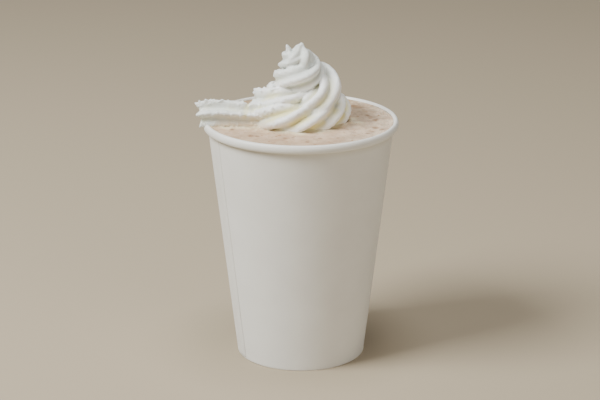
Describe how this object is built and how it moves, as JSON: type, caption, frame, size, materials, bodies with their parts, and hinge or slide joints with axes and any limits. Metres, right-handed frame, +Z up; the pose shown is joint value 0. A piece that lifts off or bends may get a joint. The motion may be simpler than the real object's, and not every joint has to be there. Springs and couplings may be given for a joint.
{
  "type": "cup of hot chocolate",
  "caption": "Hot chocolate filled to the brim of a plain tapered paper cup with a rolled lip, topped with piped whipped cream that rises to a peak and trails over the lip.",
  "frame": {"origin": "centre of the cup's foot, on the table", "axes": "+Z up along the cup's axis, -X towards the loose end of the cream that hangs over the lip, -Y towards the viewer of the picture"},
  "size_m": [0.0919, 0.09, 0.1485],
  "materials": {
    "cup_wall": "smooth white coated paper, satin",
    "cup_base": "smooth white coated paper, matte",
    "hot_chocolate": "milky chocolate drink with a fine pale foam",
    "whipped_cream": "soft satin whipped cream"
  },
  "bodies": {
    "root": {"cup_wall": "cup_wall", "cup_base": "cup_base", "hot_chocolate": "hot_chocolate", "whipped_cream": "whipped_cream"}
  },
  "joints": []
}
